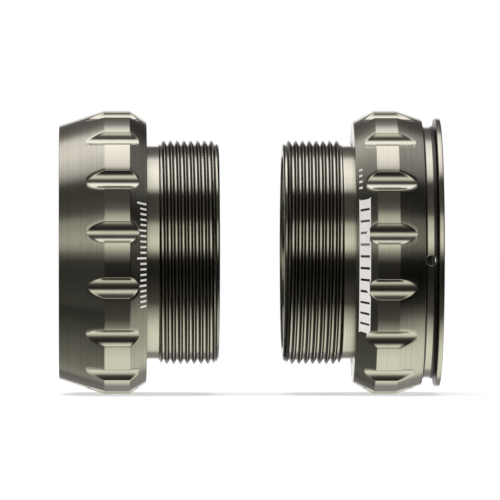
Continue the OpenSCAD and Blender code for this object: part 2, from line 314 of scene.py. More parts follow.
# Anodised aluminium, turned on a lathe: the tool leaves fine rings round the axis, which stretch
# each reflection along the axis and streak it. The rings are drawn 0.2 mm apart, coarser than real
# ones, so that they show.
turned_aluminium, tree, output = new_material("anodised_aluminium_turned")
position = add_node(tree, "ShaderNodeTexCoord").outputs["Object"]
ring_place = ring_places(tree, position)
fine_rings = add_node(
    tree, "ShaderNodeTexNoise", {"noise_dimensions": "2D"},
    {"Vector": ring_place, "Scale": 1 / (0.2 * MM), "Detail": 2.0, "Roughness": 0.6}
)
broad_rings = add_node(
    tree, "ShaderNodeTexNoise", {"noise_dimensions": "2D"},
    {"Vector": ring_place, "Scale": 1 / (1.3 * MM), "Detail": 1.0}
)
patches = add_node(
    tree, "ShaderNodeTexNoise", inputs={"Vector": position, "Scale": 1 / (4 * MM), "Detail": 3.0}
)
shade = add_node(
    tree, "ShaderNodeMapRange", inputs={
        "Value": fine_rings.outputs["Fac"], "From Min": 0.3, "From Max": 0.7, "To Min": 0.0, "To Max": 1.0
    }
)
colour = add_node(
    tree, "ShaderNodeMix", {"data_type": "RGBA"},
    {"Factor": shade.outputs["Result"], "A": linear("#A7A591"), "B": linear("#B1AF9B")}
)
rough = add_node(
    tree, "ShaderNodeMapRange", inputs={
        "Value": patches.outputs["Fac"], "From Min": 0.3, "From Max": 0.7, "To Min": 0.18, "To Max": 0.2
    }
)
bump_height = add_node(
    tree, "ShaderNodeMath", {"operation": "MULTIPLY_ADD"},
    {0: broad_rings.outputs["Fac"], 1: 2.0, 2: fine_rings.outputs["Fac"]}
)
bump = add_node(
    tree, "ShaderNodeBump", inputs={
        "Height": bump_height.outputs[0], "Strength": 1.0, "Distance": 0.0025 * MM
    }
)
round_axis = add_node(tree, "ShaderNodeTangent", {"direction_type": "RADIAL", "axis": "X"})
shader = add_node(
    tree, "ShaderNodeBsdfPrincipled", inputs={
        "Base Color": colour.outputs["Result"], "Metallic": 1.0, "Roughness": rough.outputs["Result"],
        "Anisotropic": 0.93, "Anisotropic Rotation": 0.25,
        "Normal": bump.outputs["Normal"], "Tangent": round_axis.outputs[0]
    }
)
tree.links.new(shader.outputs[0], output.inputs["Surface"])

# The same aluminium where a round cutter milled the notches lengthwise: plainer and a little rougher,
# with faint lines along the cut.
milled_aluminium, tree, output = new_material("anodised_aluminium_milled")
position = add_node(tree, "ShaderNodeTexCoord").outputs["Object"]
stretched = add_node(
    tree, "ShaderNodeMapping", inputs={"Vector": position, "Scale": (0.15, 1.0, 1.0)}
)
cutter_lines = add_node(
    tree, "ShaderNodeTexNoise", inputs={
        "Vector": stretched.outputs[0], "Scale": 1 / (0.25 * MM), "Detail": 2.0
    }
)
bump = add_node(
    tree, "ShaderNodeBump", inputs={
        "Height": cutter_lines.outputs["Fac"], "Strength": 1.0, "Distance": 0.003 * MM
    }
)
colour = add_node(
    tree, "ShaderNodeMix", {"data_type": "RGBA"},
    {"Factor": cutter_lines.outputs["Fac"], "A": linear("#A4A28F"), "B": linear("#B0AE9B")}
)
shader = add_node(
    tree, "ShaderNodeBsdfPrincipled", inputs={
        "Base Color": colour.outputs["Result"], "Metallic": 1.0, "Roughness": 0.2,
        "Normal": bump.outputs["Normal"]
    }
)
tree.links.new(shader.outputs[0], output.inputs["Surface"])

# The same aluminium where a narrow tool cut the thread's flanks and the corners of the clip groove, and in
# the clip holes: darker and rougher there. The dark colour is painted shade, for the shade that lies in the
# thread's valleys, the groove's corners and the holes.
painted_shade_aluminium, tree, output = new_material("anodised_aluminium_painted_shade")
position = add_node(tree, "ShaderNodeTexCoord").outputs["Object"]
tearing = add_node(
    tree, "ShaderNodeTexNoise", inputs={"Vector": position, "Scale": 1 / (0.2 * MM), "Detail": 3.0}
)
colour = add_node(
    tree, "ShaderNodeMix", {"data_type": "RGBA"},
    {"Factor": tearing.outputs["Fac"], "A": linear("#3E3B36"), "B": linear("#57534C")}
)
bump = add_node(
    tree, "ShaderNodeBump", inputs={
        "Height": tearing.outputs["Fac"], "Strength": 1.0, "Distance": 0.003 * MM
    }
)
shader = add_node(
    tree, "ShaderNodeBsdfPrincipled", inputs={
        "Base Color": colour.outputs["Result"], "Metallic": 1.0, "Roughness": 0.3,
        "Normal": bump.outputs["Normal"]
    }
)
tree.links.new(shader.outputs[0], output.inputs["Surface"])
cup_finishes = [turned_aluminium, milled_aluminium, painted_shade_aluminium]


def cup_mesh(place, mouth, crown_end, flange, seat_end, thread_start, thread_end, start, phase):
    """The whole skin of a cup: its outside from mouth to thread, the thread, and its inside."""
    outside = [(MOUTH_CHAMFER, SEAT_R, 0), (0, SEAT_R + MOUTH_CHAMFER, 0.05)] + mouth + [
        (crown_end, CROWN_R, 0.25), (flange, SHOULDER_R, 0.12), (flange, RELIEF_R, 0.02),
        (flange - RELIEF_DEPTH, RELIEF_R - RELIEF_DEPTH, 0.02), (flange - RELIEF_DEPTH, NECK_R, 0.15),
        (thread_start, NECK_R, 0)
    ]
    inside = [
        (thread_end, NECK_R, 0), (thread_end, SLEEVE_R + MOUTH_CHAMFER, 0.05),
        (thread_end - MOUTH_CHAMFER, SLEEVE_R, 0.05), (seat_end, SLEEVE_R, 0.12),
        (seat_end, SEAT_R, 0.25), (MOUTH_CHAMFER, SEAT_R, 0)
    ]
    mesh = bmesh.new()
    add_strip(mesh, place, with_notch_rows(outline(outside)), start, True)
    add_thread(mesh, place, start, thread_start, thread_end, phase)
    add_strip(mesh, place, outline(inside), start, False)
    return mesh


LEFT_MOUTH_R = 19.7
LEFT_CONE_END = 7.02
LEFT_CROWN_END = 10.92
LEFT_FLANGE = 13.54
LEFT_THREAD_START = 15.42
LEFT_THREAD_END = 24.72
LEFT_SEAT_END = 9.6
LEFT_NOTCH_TURN = math.radians(8.1)
mesh = cup_mesh(
    left_place, [(0, LEFT_MOUTH_R, 0.12), (LEFT_CONE_END, CROWN_R, 0.25)],
    LEFT_CROWN_END, LEFT_FLANGE, LEFT_SEAT_END, LEFT_THREAD_START, LEFT_THREAD_END,
    LEFT_NOTCH_TURN - math.pi / NOTCH_COUNT, 0.353
)
left_cup = finish_mesh(mesh, "left_cup_body", cup_finishes, "left_cup")
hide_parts("left_cup")


# Marks on the left cup's inner cone. A short scale of plain ticks in pad-printed white ink, which
# stands a hair proud of the metal.
INK_PROUD = 0.012
INK_SUNK = 0.05
INK_CLEARANCE = 0.07
TICKS = 20
TICK_STEP = 2.35
TICK_END = 13.4


def notch_edge_r(turn, notch_turn):
    """Radius of the notches' surface at a turn, or None where there is no notch."""
    sector = 2 * math.pi / NOTCH_COUNT
    off = (turn - notch_turn + sector / 2) % sector - sector / 2
    inside = NOTCH_R**2 - (NOTCH_AXIS_R * math.sin(off)) ** 2
    return NOTCH_AXIS_R * math.cos(off) - math.sqrt(inside) if inside > 0 else None


def add_mark(mesh, place, cone, notch_turn, turn, half_turn, low, high, steps=2):
    """A patch of ink on a cone between s = low and high, kept clear of the notches."""
    s_crown, s_end = cone
    slope = (CROWN_R - SHOULDER_R) / (s_end - s_crown)
    top, bottom = [], []
    for i in range(steps + 1):
        here = turn + half_turn * (2 * i / steps - 1)
        edge = notch_edge_r(here, notch_turn)
        start = low if edge is None else max(low, s_crown + (CROWN_R - edge) / slope + INK_CLEARANCE)
        upper, lower = [], []
        for k in range(3):
            s = start + (high - start) * k / 2
            r = CROWN_R - (s - s_crown) * slope
            upper.append(mesh.verts.new(place(s, r + INK_PROUD, here)))
            lower.append(mesh.verts.new(place(s, r - INK_SUNK, here)))
        top.append(upper)
        bottom.append(lower)
    for i in range(steps):
        for k in range(2):
            mesh.faces.new((top[i][k], top[i + 1][k], top[i + 1][k + 1], top[i][k + 1]))
            mesh.faces.new((bottom[i][k], bottom[i][k + 1], bottom[i + 1][k + 1], bottom[i + 1][k]))
        for k in (0, 2):
            mesh.faces.new((top[i][k], top[i + 1][k], bottom[i + 1][k], bottom[i][k]))
    for i in (0, steps):
        for k in range(2):
            mesh.faces.new((top[i][k], top[i][k + 1], bottom[i][k + 1], bottom[i][k]))


# Pad-printing ink dries matt and slightly uneven in thickness, so its white varies a little.
printed_white, tree, output = new_material("pad_printed_white_ink")
position = add_node(tree, "ShaderNodeTexCoord").outputs["Object"]
grain = add_node(
    tree, "ShaderNodeTexNoise", inputs={"Vector": position, "Scale": 1 / (0.3 * MM), "Detail": 3.0}
)
colour = add_node(
    tree, "ShaderNodeMix", {"data_type": "RGBA"},
    {"Factor": grain.outputs["Fac"], "A": linear("#E4E1DA"), "B": linear("#F4F2EC")}
)
shader = add_node(
    tree, "ShaderNodeBsdfPrincipled",
    inputs={"Base Color": colour.outputs["Result"], "Roughness": 0.5}
)
tree.links.new(shader.outputs[0], output.inputs["Surface"])

mesh = bmesh.new()
for k in range(TICKS):
    tick_turn = math.radians(21.0 - TICK_STEP * k)
    length = 1.4 if k % 5 == 0 else 0.9
    add_mark(
        mesh, left_place, (LEFT_CROWN_END, LEFT_FLANGE), LEFT_NOTCH_TURN, tick_turn, math.radians(0.42),
        TICK_END - length, TICK_END
    )
left_marks = finish_mesh(mesh, "left_cup_printed_scale", [printed_white], "left_cup")


# Right cup. Turned, milled and anodised like the left one, with a left-hand thread. A groove behind
# its lip takes a wire clip, whose ends hook into two small drilled holes.
RIGHT_END_X = 29.51
LIP_R = 20.9
LIP_L = 0.85
LIP_ROUND = 0.2
GROOVE_FLOOR_R = 19.54
GROOVE_FILLET = 0.75
GROOVE_CORNER = 0.3
RIGHT_CONE_START = 2.85
RIGHT_CONE_START_R = 20.65
RIGHT_CONE_END = 6.83
RIGHT_CROWN_END = 10.22
RIGHT_FLANGE = 13.48
RIGHT_THREAD_START = 15.19
RIGHT_THREAD_END = 24.38
RIGHT_SEAT_END = 8.9
RIGHT_NOTCH_TURN = math.radians(7.4)


def right_place(s, r, turn):
    """A point of the right cup: s in from its mouth, turn up from the front line."""
    return ((RIGHT_END_X - s) * MM, -r * math.cos(turn) * MM, r * math.sin(turn) * MM)


mesh = cup_mesh(
    right_place,
    [
        (0, LIP_R, LIP_ROUND), (LIP_L, LIP_R, LIP_ROUND), (LIP_L, GROOVE_FLOOR_R, GROOVE_FILLET),
        (RIGHT_CONE_START, GROOVE_FLOOR_R, GROOVE_CORNER),
        (RIGHT_CONE_START, RIGHT_CONE_START_R, 0.12), (RIGHT_CONE_END, CROWN_R, 0.25)
    ],
    RIGHT_CROWN_END, RIGHT_FLANGE, RIGHT_SEAT_END, RIGHT_THREAD_START, RIGHT_THREAD_END,
    RIGHT_NOTCH_TURN - math.pi / NOTCH_COUNT, 0.327
)
# The corners of the groove take the dark metal, whose colour is painted shade for the groove, and its flat
# floor doesn't.
mesh.normal_update()
for face in mesh.faces:
    middle = face.calc_center_median() / MM
    in_groove = LIP_L < RIGHT_END_X - middle.x < RIGHT_CONE_START
    below_rim = math.hypot(middle.y, middle.z) < RIGHT_CONE_START_R - 0.05
    if in_groove and below_rim and abs(face.normal.x) > 0.1:
        face.material_index = cup_finishes.index(painted_shade_aluminium)
right_cup = finish_mesh(mesh, "right_cup_body", cup_finishes, "right_cup")

# Bare aluminium, where the edge of a hole was broken after the anodising: bright metal, left a little rough
# by the tool, so that it shines from every side. Its light colour is partly the bare metal and partly a
# painted highlight, for the pale ring round each hole.
bare_aluminium_painted_highlight, tree, output = new_material("bare_aluminium_hole_rim_painted_highlight")
shader = add_node(
    tree, "ShaderNodeBsdfPrincipled",
    inputs={"Base Color": linear("#E6E4DE"), "Metallic": 1.0, "Roughness": 0.45}
)
tree.links.new(shader.outputs[0], output.inputs["Surface"])

# The drill goes straight in, and its mouth is broken with a small bevel.
CLIP_HOLE_S = 2.05
CLIP_HOLE_R = 0.75
HOLE_BEVEL = 0.2
HOLE_SIDES = 32
drilled_finishes = cup_finishes + [bare_aluminium_painted_highlight]
wall, rim = drilled_finishes.index(painted_shade_aluminium), drilled_finishes.index(bare_aluminium_painted_highlight)
mesh = bmesh.new()
for hole_turn in (math.radians(-3.6), math.radians(116.4)):
    cos_turn, sin_turn = math.cos(hole_turn), math.sin(hole_turn)
    rings = []
    for height, radius in (
        (SEAT_R - 1, CLIP_HOLE_R), (GROOVE_FLOOR_R - HOLE_BEVEL, CLIP_HOLE_R),
        (GROOVE_FLOOR_R + 0.05, CLIP_HOLE_R + HOLE_BEVEL), (GROOVE_FLOOR_R + 0.3, CLIP_HOLE_R + HOLE_BEVEL)
    ):
        ring = []
        for j in range(HOLE_SIDES):
            angle = 2 * math.pi * j / HOLE_SIDES
            x = RIGHT_END_X - CLIP_HOLE_S + radius * math.cos(angle)
            y = -height * cos_turn + radius * math.sin(angle) * sin_turn
            z = height * sin_turn + radius * math.sin(angle) * cos_turn
            ring.append(mesh.verts.new((x * MM, y * MM, z * MM)))
        rings.append(ring)
    for first, second in zip(rings, rings[1:]):
        for j in range(HOLE_SIDES):
            k = (j + 1) % HOLE_SIDES
            face = mesh.faces.new((first[j], first[k], second[k], second[j]))
            face.smooth = True
            # The bevel takes the bright rim metal, partly a painted highlight, and the walls take the dark
            # metal, whose colour is painted shade inside the hole.
            face.material_index = rim if first is rings[1] else wall
    mesh.faces.new(rings[0])
    mesh.faces.new(rings[-1])
bmesh.ops.recalc_face_normals(mesh, faces=mesh.faces)
drill_data = bpy.data.meshes.new("clip_hole_drill")
mesh.to_mesh(drill_data)
mesh.free()
for finish in drilled_finishes:
    drill_data.materials.append(finish)
right_cup.data.materials.append(bare_aluminium_painted_highlight)
drill = bpy.data.objects.new("clip_hole_drill", drill_data)
bpy.context.collection.objects.link(drill)
right_cup.modifiers.clear()
drilled = right_cup.modifiers.new("drilled", "BOOLEAN")
drilled.object = drill
drilled.solver = "EXACT"
drilled.material_mode = "INDEX"
evaluated = right_cup.evaluated_get(bpy.context.evaluated_depsgraph_get())
drilled_data = bpy.data.meshes.new_from_object(evaluated)
# The creases round the holes stay sharp.
mesh = bmesh.new()
mesh.from_mesh(drilled_data)
for edge in mesh.edges:
    at_hole = any(face.material_index in (wall, rim) for face in edge.link_faces)
    at_groove = all(RIGHT_END_X - vert.co.x / MM < RIGHT_CONE_START + 0.5 for vert in edge.verts)
    if at_groove and at_hole and edge.calc_face_angle(0) > math.radians(25):
        edge.smooth = False
mesh.to_mesh(drilled_data)
mesh.free()
right_cup.modifiers.clear()
right_cup.data = drilled_data
right_cup.modifiers.new("face_weighted_normals", "WEIGHTED_NORMAL").keep_sharp = True
bpy.data.objects.remove(drill)
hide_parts("right_cup")


# Marks on the right cup's inner cone. A plain white band with narrow slots across it, like a ladder
# scale, and four ticks above it, in the same printed ink.
RAILS = ((11.33, 11.5), (12.88, 13.05))
BLOCKS = 12
BLOCK_STEP = 4.95
right_cone = (RIGHT_CROWN_END, RIGHT_FLANGE)
mesh = bmesh.new()
for low, high in RAILS:
    add_mark(
        mesh, right_place, right_cone, RIGHT_NOTCH_TURN, math.radians(-6.6), math.radians(29.7),
        low, high, steps=60
    )
for k in range(BLOCKS):
    block_turn = math.radians(20.6 - BLOCK_STEP * k)
    add_mark(
        mesh, right_place, right_cone, RIGHT_NOTCH_TURN, block_turn, math.radians(1.95),
        RAILS[0][1], RAILS[1][0], steps=8
    )
for k in range(4):
    tick_turn = math.radians(28.5 + 3.0 * k)
    add_mark(
        mesh, right_place, right_cone, RIGHT_NOTCH_TURN, tick_turn, math.radians(0.5), 12.5, 13.0
    )
right_marks = finish_mesh(mesh, "right_cup_printed_band", [printed_white], "right_cup")


# Bearing rings. Hardened steel, turned, then ground on the faces, bore and raceways, so they are
# bright with very fine rings round the axis. The right outer ring is pressed into its cup, and the
# left one slides in its seat.
BEARING_W = 6.0
BEARING_BORE_R = 12.5
BEARING_R = 18.5
PITCH_R = 15.5
RACE_R = 1.617
OUTER_LAND_R = 16.61
INNER_LAND_R = 14.39
SEAL_SEAT_R = 16.91
SEAL_SEAT_L = 0.7
bearings = {
    "left": (left_place, 2.4, "left_bearing", "left_inner_race"),
    "right": (right_place, 2.9, "right_cup", "right_inner_race")
}

# Ground bearing steel is bright and slightly blue beside the cup, with fine grinding rings that are
# drawn 0.15 mm apart so that they show.
ground_steel, tree, output = new_material("bearing_steel_ground")
position = add_node(tree, "ShaderNodeTexCoord").outputs["Object"]
ring_place = ring_places(tree, position)
grinding = add_node(
    tree, "ShaderNodeTexNoise", {"noise_dimensions": "2D"},
    {"Vector": ring_place, "Scale": 1 / (0.15 * MM), "Detail": 2.0}
)
colour = add_node(
    tree, "ShaderNodeMix", {"data_type": "RGBA"},
    {"Factor": grinding.outputs["Fac"], "A": linear("#B9BBBD"), "B": linear("#CED0D2")}
)
bump = add_node(
    tree, "ShaderNodeBump",
    inputs={"Height": grinding.outputs["Fac"], "Strength": 1.0, "Distance": 0.001 * MM}
)
round_axis = add_node(tree, "ShaderNodeTangent", {"direction_type": "RADIAL", "axis": "X"})
shader = add_node(
    tree, "ShaderNodeBsdfPrincipled", inputs={
        "Base Color": colour.outputs["Result"], "Metallic": 1.0, "Roughness": 0.22,
        "Anisotropic": 0.6, "Anisotropic Rotation": 0.25,
        "Normal": bump.outputs["Normal"], "Tangent": round_axis.outputs[0]
    }
)
tree.links.new(shader.outputs[0], output.inputs["Surface"])


def turned_ring(place, depth, corners, name, material, body, sharp_angle=50):
    """A ring turned from a closed outline, whose first and last points are the same."""
    mesh = bmesh.new()
    rows = [(depth + s, r) for s, r in outline(corners)]
    add_strip(mesh, place, rows, 0.0, False)
    return finish_mesh(mesh, name, [material], body, sharp_angle)


race_w = math.sqrt(RACE_R**2 - (OUTER_LAND_R - PITCH_R) ** 2)
mid = BEARING_W / 2
seal_end = BEARING_W - SEAL_SEAT_L
race = []
for k in range(11):
    across_race = race_w * (1 - k / 5)
    race.append((mid + across_race, math.sqrt(RACE_R**2 - across_race**2)))
for side, (place, depth, outer_body, inner_body) in bearings.items():
    corners = [
        (mid - race_w, OUTER_LAND_R, 0), (SEAL_SEAT_L, OUTER_LAND_R, 0.05),
        (SEAL_SEAT_L, SEAL_SEAT_R, 0.05), (0, SEAL_SEAT_R, 0.08), (0, BEARING_R, 0.3),
        (BEARING_W, BEARING_R, 0.3), (BEARING_W, SEAL_SEAT_R, 0.08), (seal_end, SEAL_SEAT_R, 0.05),
        (seal_end, OUTER_LAND_R, 0.05)
    ] + [(s, PITCH_R + rise, 0) for s, rise in race]
    piece = turned_ring(place, depth, corners, side + "_outer_race_ring", ground_steel, outer_body)
    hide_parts(side + "_outer_ring")
    corners = [
        (mid - race_w, INNER_LAND_R, 0), (0, INNER_LAND_R, 0.1), (0, BEARING_BORE_R, 0.25),
        (BEARING_W, BEARING_BORE_R, 0.25), (BEARING_W, INNER_LAND_R, 0.1)
    ] + [(s, PITCH_R - rise, 0) for s, rise in race]
    piece = turned_ring(place, depth, corners, side + "_inner_race_ring", ground_steel, inner_body)
    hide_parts(side + "_inner_ring")


# Balls. Seventeen to a bearing, of hardened chromium steel. They are ground round and then lapped to
# a mirror, and only a thin film of oil dulls them.
lapped_steel, tree, output = new_material("ball_steel_lapped")
position = add_node(tree, "ShaderNodeTexCoord").outputs["Object"]
film = add_node(
    tree, "ShaderNodeTexNoise", inputs={"Vector": position, "Scale": 1 / (0.8 * MM), "Detail": 2.0}
)
rough = add_node(
    tree, "ShaderNodeMapRange",
    inputs={"Value": film.outputs["Fac"], "From Min": 0.3, "From Max": 0.7, "To Min": 0.05, "To Max": 0.12}
)
shader = add_node(
    tree, "ShaderNodeBsdfPrincipled", inputs={
        "Base Color": linear("#D9DADC"), "Metallic": 1.0, "Roughness": rough.outputs["Result"]
    }
)
tree.links.new(shader.outputs[0], output.inputs["Surface"])
for side in bearings:
    balls = nodes[side + "_balls"]
    balls.data.materials.clear()
    balls.data.materials.append(lapped_steel)


# Ball cages. Two halves pressed from steel strip, joined by a rivet between each pair of balls. The
# strip is tumbled after pressing, which leaves it dull, with small flat marks.
pressed_steel, tree, output = new_material("cage_steel_pressed")
position = add_node(tree, "ShaderNodeTexCoord").outputs["Object"]
tumbling = add_node(
    tree, "ShaderNodeTexNoise", inputs={"Vector": position, "Scale": 1 / (0.35 * MM), "Detail": 3.0}
)
colour = add_node(
    tree, "ShaderNodeMix", {"data_type": "RGBA"},
    {"Factor": tumbling.outputs["Fac"], "A": linear("#8E8A80"), "B": linear("#A8A499")}
)
bump = add_node(
    tree, "ShaderNodeBump",
    inputs={"Height": tumbling.outputs["Fac"], "Strength": 1.0, "Distance": 0.01 * MM}
)
shader = add_node(
    tree, "ShaderNodeBsdfPrincipled", inputs={
        "Base Color": colour.outputs["Result"], "Metallic": 1.0, "Roughness": 0.42,
        "Normal": bump.outputs["Normal"]
    }
)
tree.links.new(shader.outputs[0], output.inputs["Surface"])
for side in bearings:
    for half in ("_cage_outboard", "_cage_inboard", "_cage_rivets"):
        strip = nodes[side + half]
        strip.data.materials.clear()
        strip.data.materials.append(pressed_steel)


# Bearing seals. Nitrile rubber rings moulded over a steel washer, snapped into the outer ring on both
# sides, with a raised bead at each edge and a fine lip close to the inner ring.

# Moulded nitrile rubber is nearly black, with a soft sheen and faint flow marks.
moulded_rubber, tree, output = new_material("nitrile_rubber_moulded")
position = add_node(tree, "ShaderNodeTexCoord").outputs["Object"]
flow = add_node(
    tree, "ShaderNodeTexNoise", inputs={"Vector": position, "Scale": 1 / (0.5 * MM), "Detail": 4.0}
)
colour = add_node(
    tree, "ShaderNodeMix", {"data_type": "RGBA"},
    {"Factor": flow.outputs["Fac"], "A": linear("#1D1C1B"), "B": linear("#2B2A28")}
)
rough = add_node(
    tree, "ShaderNodeMapRange",
    inputs={"Value": flow.outputs["Fac"], "From Min": 0.3, "From Max": 0.7, "To Min": 0.5, "To Max": 0.62}
)
bump = add_node(
    tree, "ShaderNodeBump", inputs={"Height": flow.outputs["Fac"], "Strength": 1.0, "Distance": 0.01 * MM}
)
shader = add_node(
    tree, "ShaderNodeBsdfPrincipled", inputs={
        "Base Color": colour.outputs["Result"], "Roughness": rough.outputs["Result"],
        "Normal": bump.outputs["Normal"]
    }
)
tree.links.new(shader.outputs[0], output.inputs["Surface"])
for side, (place, depth, outer_body, inner_body) in bearings.items():
    for name, flip in (("outboard", False), ("inboard", True)):
        corners = [
            (SEAL_SEAT_L, 15.6, 0), (SEAL_SEAT_L, 16.9, 0.1), (0.1, 16.9, 0.15), (0.1, 16.45, 0.1),
            (0.3, 16.3, 0.1), (0.3, 15.85, 0.04), (0.22, 15.75, 0.04), (0.22, 15.6, 0.04), (0.3, 15.5, 0.04),
            (0.3, 15.05, 0.1), (0.12, 14.9, 0.08), (0.12, 14.6, 0.08), (0.35, 14.5, 0.05),
            (SEAL_SEAT_L, 14.5, 0.08), (SEAL_SEAT_L, 15.6, 0)
        ]
        if flip:
            corners = [(BEARING_W - s, r, radius) for s, r, radius in corners]
        piece = turned_ring(
            place, depth, corners, side + "_bearing_seal_" + name, moulded_rubber, outer_body, 80
        )
        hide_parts(side + "_seal_" + name)


# Dust seals. A thicker rubber ring outboard of each bearing, which turns with the inner ring. Its hub
# bears on that ring, and its flange curls back towards the bearing at the edge.
for side, (place, depth, outer_body, inner_body) in bearings.items():
    corners = [
        (-1.6, 14.0, 0), (-1.6, 12.8, 0.3), (0, 12.8, 0.1), (0, 14.28, 0.1), (-0.88, 14.3, 0.15),
        (-0.9, 16.5, 0.12), (-0.2, 16.52, 0.1), (-0.2, 17.2, 0.12), (-1.0, 17.2, 0.4),
        (-1.6, 16.5, 0.25), (-1.6, 16.1, 0.05), (-1.45, 16.0, 0.05), (-1.45, 15.6, 0.05),
        (-1.6, 15.5, 0.05), (-1.6, 15.0, 0.05), (-1.45, 14.9, 0.05), (-1.45, 14.5, 0.05),
        (-1.6, 14.4, 0.05), (-1.6, 14.0, 0)
    ]
    piece = turned_ring(place, depth, corners, side + "_outer_dust_seal", moulded_rubber, inner_body, 80)
    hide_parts(side + "_dust_seal")


# Wave washer. A ring stamped from spring steel strip and pressed into three waves, loose between the left
# bearing and the floor of its seat. The real one flattens as the bearing slides in, but this one keeps its
# waves.
WASHER_H = 1.2
WASHER_T = 0.3
WASHER_WAVES = 3
WASHER_COLUMNS = 144

# Rolled and tempered spring steel: a straw-grey oxide colour, in soft patches.
spring_steel, tree, output = new_material("spring_steel_tempered")
position = add_node(tree, "ShaderNodeTexCoord").outputs["Object"]
oxide = add_node(
    tree, "ShaderNodeTexNoise", inputs={"Vector": position, "Scale": 1 / (2 * MM), "Detail": 4.0}
)
colour = add_node(
    tree, "ShaderNodeMix", {"data_type": "RGBA"},
    {"Factor": oxide.outputs["Fac"], "A": linear("#8F8D88"), "B": linear("#ABA89F")}
)
shader = add_node(
    tree, "ShaderNodeBsdfPrincipled",
    inputs={"Base Color": colour.outputs["Result"], "Metallic": 1.0, "Roughness": 0.33}
)
tree.links.new(shader.outputs[0], output.inputs["Surface"])

swing = (WASHER_H - WASHER_T) / 2 - 0.02
section = [
    (-0.15, 16.95), (-0.06, 16.86), (0.06, 16.86), (0.15, 16.95),
    (0.15, 18.18), (0.06, 18.27), (-0.06, 18.27), (-0.15, 18.18)
]
mesh = bmesh.new()
rings = []
for j in range(WASHER_COLUMNS):
    turn = 2 * math.pi * j / WASHER_COLUMNS
    rise = swing * math.cos(WASHER_WAVES * turn)
    middle = LEFT_SEAT_END - WASHER_H / 2
    rings.append([mesh.verts.new(left_place(middle + rise + s, r, turn)) for s, r in section])
for j in range(WASHER_COLUMNS):
    first, second = rings[j], rings[(j + 1) % WASHER_COLUMNS]
    for k in range(len(section)):
        m = (k + 1) % len(section)
        mesh.faces.new((first[k], first[m], second[m], second[k]))
washer = finish_mesh(mesh, "left_wave_washer_spring", [spring_steel], "left_cup", 80)
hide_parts("left_wave_washer")
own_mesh(washer)


# Studio. A matt white table under the cups, white all round, a soft box above and to the left, a
# panel at the front and white card below.
TABLE_CORNERS = ((-3, -3), (3, -3), (3, 6), (-3, 6))
mesh = bmesh.new()
mesh.faces.new([mesh.verts.new((x, y, -CROWN_R * MM)) for x, y in TABLE_CORNERS])
table_data = bpy.data.meshes.new("studio_table")
mesh.to_mesh(table_data)
mesh.free()
table = bpy.data.objects.new("studio_table", table_data)
bpy.context.collection.objects.link(table)
table.visible_glossy = False

# Matt white card, which also glows a little, so that it stays white where it lies in shade.
card, tree, output = new_material("white_card")
matt = add_node(tree, "ShaderNodeBsdfDiffuse", inputs={"Color": (0.85, 0.85, 0.85, 1)})
glow = add_node(tree, "ShaderNodeEmission", inputs={"Color": (1, 1, 1, 1), "Strength": 0.55})
both = add_node(tree, "ShaderNodeAddShader", inputs={0: matt.outputs[0], 1: glow.outputs[0]})
tree.links.new(both.outputs[0], output.inputs["Surface"])
table_data.materials.append(card)

world = bpy.data.worlds.new("studio_light")
bpy.context.scene.world = world
world.use_nodes = True
tree = world.node_tree
tree.nodes.clear()
output = add_node(tree, "ShaderNodeOutputWorld")
direction = add_node(tree, "ShaderNodeTexCoord").outputs["Generated"]
x, y, z = add_node(tree, "ShaderNodeSeparateXYZ", inputs={0: direction}).outputs

# A direction's tilt towards an end of the axle is its slope x / flat. Its height round the axle is
# steep, from 0 straight ahead through half way above or below to 1 straight behind.
y_squared = add_node(tree, "ShaderNodeMath", {"operation": "MULTIPLY"}, {0: y, 1: y})
z_squared = add_node(tree, "ShaderNodeMath", {"operation": "MULTIPLY"}, {0: z, 1: z})
flat_squared = add_node(tree, "ShaderNodeMath", {"operation": "ADD"}, {0: y_squared, 1: z_squared})
flat = add_node(tree, "ShaderNodeMath", {"operation": "SQRT"}, {0: flat_squared})
ahead = add_node(tree, "ShaderNodeMath", {"operation": "MULTIPLY"}, {0: y, 1: -1.0})
angle = add_node(tree, "ShaderNodeMath", {"operation": "ARCTAN2"}, {0: z, 1: ahead})
height = add_node(tree, "ShaderNodeMath", {"operation": "DIVIDE"}, {0: angle, 1: math.pi})
steep = add_node(tree, "ShaderNodeMath", {"operation": "ABSOLUTE"}, {0: height})
above = add_node(tree, "ShaderNodeMath", {"operation": "GREATER_THAN"}, {0: z, 1: 0.0})
slope = add_node(tree, "ShaderNodeMath", {"operation": "DIVIDE"}, {0: x, 1: flat})
scaled_slope = add_node(tree, "ShaderNodeMath", {"operation": "MULTIPLY"}, {0: slope, 1: 0.2})
sideways = add_node(tree, "ShaderNodeMath", {"operation": "ADD"}, {0: scaled_slope, 1: 0.5})
over = add_node(tree, "ShaderNodeMath", {"operation": "GREATER_THAN"}, {0: steep, 1: 52 / 180})


def height_stops(levels):
    """Ramp stops of light from (degrees round the axle, level, tint)."""
    return [(a / 180, [level * channel for channel in tint] + [1.0]) for a, level, tint in levels]


def slope_stops(levels):
    """Ramp stops of plain light from (slope, level)."""
    return [(0.5 + 0.2 * tilt, [level, level, level, 1.0]) for tilt, level in levels]


# Panel at the front, dark above it, soft box overhead, dark behind, and white far behind.
WARM = (1.0, 0.93, 0.98)
PLAIN = (1.0, 1.0, 1.0)
COOL = (1.0, 0.975, 1.09)
upper = add_node(tree, "ShaderNodeValToRGB", inputs={"Fac": steep}, stops=height_stops([
    (0, 0.75, PLAIN), (5, 1.4, PLAIN), (10.6, 1.65, PLAIN), (16, 1.6, PLAIN), (21, 1.3, PLAIN),
    (27, 1.2, PLAIN), (31, 0.85, PLAIN), (35, 0.27, WARM), (42, 0.15, WARM), (60, 0.13, WARM),
    (66, 0.15, WARM), (70, 0.85, COOL), (75, 1.75, COOL), (82, 2.15, COOL), (97, 2.5, COOL),
    (107, 2.25, COOL), (119, 1.85, COOL), (127, 0.6, WARM), (134, 0.3, WARM), (146, 0.18, WARM),
    (164, 0.2, WARM), (170, 1.0, PLAIN), (180, 1.0, PLAIN)
]))
